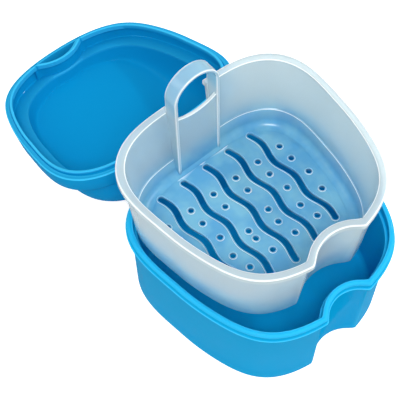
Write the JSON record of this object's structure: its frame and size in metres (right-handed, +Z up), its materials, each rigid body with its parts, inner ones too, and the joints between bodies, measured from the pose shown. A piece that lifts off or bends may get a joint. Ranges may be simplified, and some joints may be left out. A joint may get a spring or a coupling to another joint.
{
  "type": "denture case",
  "caption": "Denture bath case: a rounded tub with a front finger notch, a strainer basket with an arched strap handle and slotted floor, and a domed lid that closes over both.",
  "frame": {"origin": "centre of the tub's flat underside, where it stands on the table", "axes": "+Z up out of the tub, -Y to the front with the finger notch, +Y to the handle's side and the lid behind, +X to the right"},
  "size_m": [0.0946, 0.1894, 0.1012],
  "materials": {
    "tub_blue": "glossy moulded polypropylene",
    "basket_frosted": "milky translucent polypropylene",
    "lid_blue": "glossy moulded polypropylene"
  },
  "bodies": {
    "tub": {"tub": "tub_blue"},
    "strainer_basket": {"strainer_basket": "basket_frosted"},
    "lid": {"lid": "lid_blue"}
  },
  "joints": [
    {"name": "lid_turn", "type": "hinge", "parent": "tub", "child": "lid", "pos_m": [0, 0.0527, 0.04293], "axis": [1, 0, 0], "range_deg": [0, 197.8]},
    {"name": "basket_drop", "type": "slide", "parent": "tub", "child": "strainer_basket", "axis": [0.0787, -0.1148, -0.9903], "range_m": [0, 0.03878]}
  ],
  "couplings": [
    {"joint": "basket_drop", "follows": "lid_turn", "m_per_rad": 0.011232}
  ]
}
